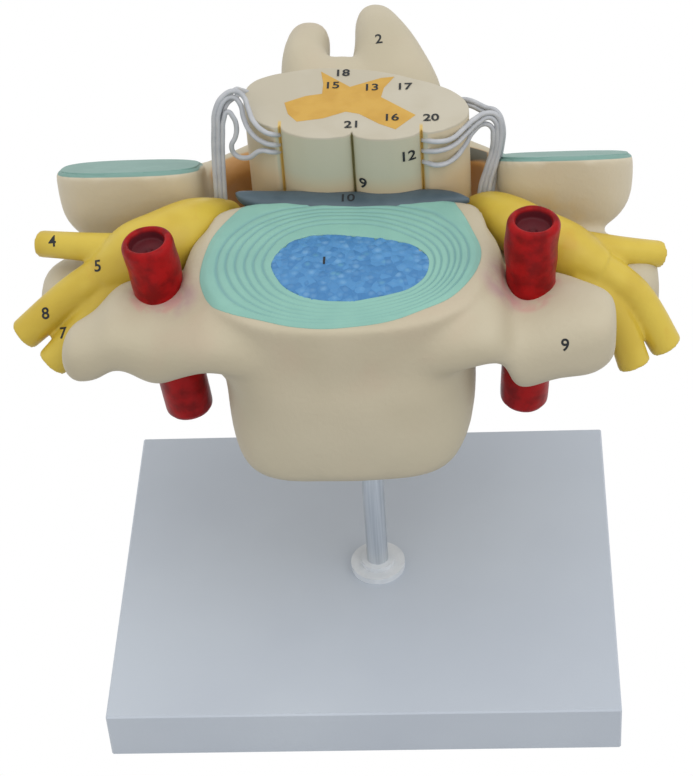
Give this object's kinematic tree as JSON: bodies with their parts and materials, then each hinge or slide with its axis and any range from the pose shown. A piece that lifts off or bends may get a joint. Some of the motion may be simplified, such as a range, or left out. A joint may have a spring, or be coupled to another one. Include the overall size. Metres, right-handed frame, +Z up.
{
  "type": "spine anatomy model",
  "caption": "Enlarged neck vertebra on a rod and board, cut to show its disc, spinal cord with grey matter, nerves with thin roots, and upright arteries",
  "frame": {"origin": "middle of the board's underside, on the surface that the model stands on", "axes": "+Z up out of the board, +Y to the back, where the spinous process points, +X to the viewer's right"},
  "size_m": [0.3239, 0.341, 0.264],
  "materials": {
    "base_paint": "smooth pale blue-grey paint on the board",
    "rod_metal": "bright plated rod",
    "collar_plastic": "pale glossy collar",
    "bone_plastic": "cast bone-coloured plastic, satin",
    "disc_ring": "green layered ring, satin",
    "disc_core": "blue core with light and green flecks, glossy",
    "ligament_plastic": "slate strip, satin",
    "cord_plastic": "cream cord, satin",
    "grey_matter_paint": "orange inlay",
    "cartilage_plastic": "green cartilage pad",
    "nerve_plastic": "yellow nerve, satin gloss",
    "artery_plastic": "red vessel, satin gloss",
    "rootlet_plastic": "grey strand"
  },
  "bodies": {
    "root": {"base_board": "base_paint", "rod_collar": "collar_plastic", "support_rod": "rod_metal", "vertebra": "bone_plastic", "disc_annulus": "disc_ring", "disc_nucleus": "disc_core", "posterior_ligament": "ligament_plastic", "spinal_cord": "cord_plastic", "grey_matter": "grey_matter_paint", "facet_cartilage_left": "cartilage_plastic", "facet_cartilage_right": "cartilage_plastic", "spinal_nerve_left": "nerve_plastic", "spinal_nerve_right": "nerve_plastic", "vertebral_artery_left": "artery_plastic", "vertebral_artery_right": "artery_plastic", "front_rootlet_left_1": "rootlet_plastic", "front_rootlet_left_2": "rootlet_plastic", "front_rootlet_left_3": "rootlet_plastic", "back_rootlet_left": "rootlet_plastic", "front_rootlet_right_1": "rootlet_plastic", "front_rootlet_right_2": "rootlet_plastic", "front_rootlet_right_3": "rootlet_plastic", "back_rootlet_right": "rootlet_plastic"}
  },
  "joints": []
}
